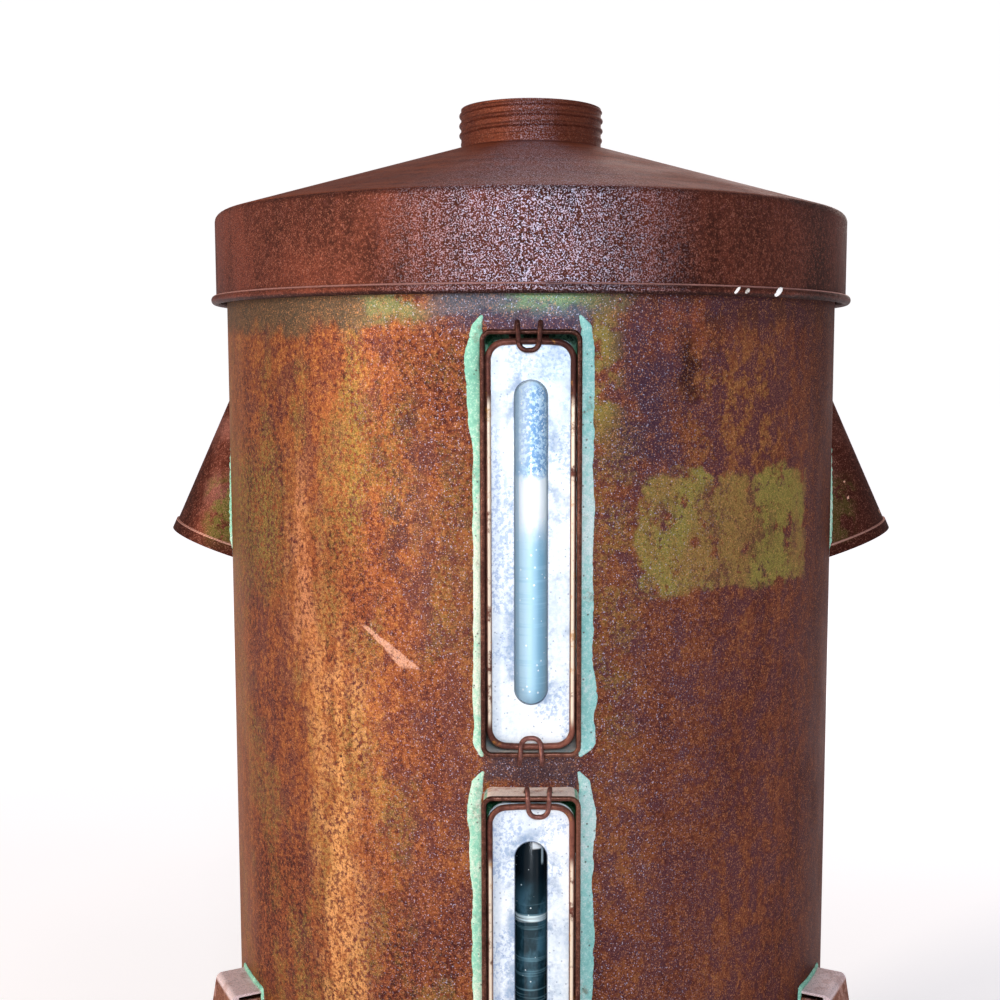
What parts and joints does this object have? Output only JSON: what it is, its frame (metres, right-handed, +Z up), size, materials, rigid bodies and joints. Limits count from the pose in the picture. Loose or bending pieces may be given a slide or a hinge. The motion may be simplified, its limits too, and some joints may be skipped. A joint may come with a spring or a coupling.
{
  "type": "drinks urn dispenser",
  "caption": "Round copper drinks urn on three flared legs, with a slip-on cone lid, two framed gauge windows, side hoods and a plug tap.",
  "frame": {"origin": "on the floor, at the centre of the box round the urn, which is on the tank's axis", "axes": "+Z up along the tank's axis, -Y towards the front where the windows and the tap are, +X to the right seen from the front"},
  "size_m": [0.378, 0.4102, 0.655],
  "materials": {
    "tank_copper": "oxidised copper, brown with olive and turquoise verdigris",
    "lid_copper": "oxidised copper, dark red-brown",
    "hood_copper": "oxidised copper, brown with green at the lip",
    "leg_copper": "oxidised copper, brown",
    "wire": "dark oxidised wire",
    "cover_plate": "pale, dull and mottled",
    "gauge_glass": "clear tube",
    "tap_brass": "dull tarnished brass",
    "seal_rubber": "black",
    "fibre": "red-brown fibre washer"
  },
  "bodies": {
    "tank": {"tank_shell": "tank_copper", "tank_rim_wire": "wire", "base_pan": "tank_copper", "upper_window_tray": "tank_copper", "upper_rim_wire": "wire", "upper_cover_plate": "cover_plate", "upper_plate_rests": "tank_copper", "upper_wire_frame": "wire", "upper_gauge_tube": "gauge_glass", "upper_top_socket": "tap_brass", "upper_bottom_socket": "tap_brass", "upper_tube_sleeves": "seal_rubber", "upper_stub_washers": "fibre", "upper_stub_nuts": "tap_brass", "lower_window_tray": "tank_copper", "lower_rim_wire": "wire", "lower_cover_plate": "cover_plate", "lower_plate_rests": "tank_copper", "lower_wire_frame": "wire", "lower_gauge_tube": "gauge_glass", "lower_top_socket": "tap_brass", "lower_bottom_socket": "tap_brass", "lower_tube_sleeves": "seal_rubber", "lower_stub_washers": "fibre", "lower_stub_nuts": "tap_brass", "left_hood": "hood_copper", "right_hood": "hood_copper", "left_leg": "leg_copper", "left_foot_plate": "leg_copper", "right_leg": "leg_copper", "right_foot_plate": "leg_copper", "rear_leg": "leg_copper", "rear_foot_plate": "leg_copper", "tap_body": "tap_brass", "tap_washer": "fibre", "tap_inner_washer": "fibre", "tap_nut": "tap_brass"},
    "lid": {"lid_shell": "lid_copper", "lid_rim_wire": "wire", "lid_neck": "lid_copper"},
    "tap_valve": {"tap_plug": "tap_brass", "tap_lever": "tap_brass", "tap_lever_screw": "tap_brass", "tap_plug_washer": "tap_brass", "tap_plug_nut": "tap_brass"},
    "upper_top_clip": {"upper_top_clip": "wire"},
    "upper_bottom_clip": {"upper_bottom_clip": "wire"},
    "lower_top_clip": {"lower_top_clip": "wire"},
    "lower_bottom_clip": {"lower_bottom_clip": "wire"}
  },
  "joints": [
    {"name": "lid_lift", "type": "slide", "parent": "tank", "child": "lid", "axis": [0, 0, 1], "range_m": [0, 0.08]},
    {"name": "tap_turn", "type": "hinge", "parent": "tank", "child": "tap_valve", "pos_m": [0, -0.177, 0.158], "axis": [0, 0, -1], "range_deg": [0, 90]},
    {"name": "upper_top_clip_swing", "type": "hinge", "parent": "tank", "child": "upper_top_clip", "pos_m": [0, -0.1555, 0.5426], "axis": [-1, 0, 0], "range_deg": [0, 70], "stiffness_Nm_per_rad": 0.02, "springref_deg": -17.19},
    {"name": "upper_bottom_clip_swing", "type": "hinge", "parent": "tank", "child": "upper_bottom_clip", "pos_m": [0, -0.1555, 0.3739], "axis": [1, 0, 0], "range_deg": [0, 70], "stiffness_Nm_per_rad": 0.02, "springref_deg": -17.19},
    {"name": "lower_top_clip_swing", "type": "hinge", "parent": "tank", "child": "lower_top_clip", "pos_m": [0, -0.1555, 0.3558], "axis": [-1, 0, 0], "range_deg": [0, 70], "stiffness_Nm_per_rad": 0.02, "springref_deg": -17.19},
    {"name": "lower_bottom_clip_swing", "type": "hinge", "parent": "tank", "child": "lower_bottom_clip", "pos_m": [0, -0.1555, 0.1871], "axis": [1, 0, 0], "range_deg": [0, 70], "stiffness_Nm_per_rad": 0.02, "springref_deg": -17.19}
  ]
}
